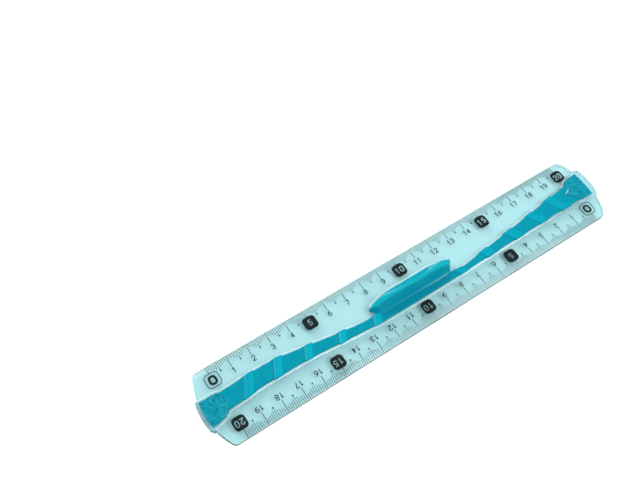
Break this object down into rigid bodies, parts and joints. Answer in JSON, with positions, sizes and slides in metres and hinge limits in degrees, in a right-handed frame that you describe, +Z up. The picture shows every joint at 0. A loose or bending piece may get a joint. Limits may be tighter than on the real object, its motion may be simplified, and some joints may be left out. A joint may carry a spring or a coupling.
{
  "type": "ruler",
  "caption": "Clear flexible desk ruler with a wavy soft band inlaid along it, rough end pads and an upright scooped grip fin; printed scale on both long edges.",
  "frame": {"origin": "middle of the blade's underside, halfway along the scale", "axes": "+X along the scale, from the left end to the right with the grip's scoop facing away; +Y across the blade, towards the grip's scooped side; +Z up out of the printed face"},
  "size_m": [0.2244, 0.0364, 0.0131],
  "materials": {
    "clear_plastic": "clear, blue-green tinted, glossy",
    "soft_plastic": "satin teal",
    "rough_soft_plastic": "teal with a rough grain",
    "scale_ink": "near-black print"
  },
  "bodies": {
    "root": {"clear_blade": "clear_plastic", "soft_band": "soft_plastic", "grip_fin": "soft_plastic", "end_pad_left": "rough_soft_plastic", "end_pad_right": "rough_soft_plastic", "graduation_lines": "scale_ink", "graduation_dots": "scale_ink", "scale_numerals": "scale_ink", "number_blocks": "scale_ink", "zero_frames": "scale_ink"}
  },
  "joints": []
}
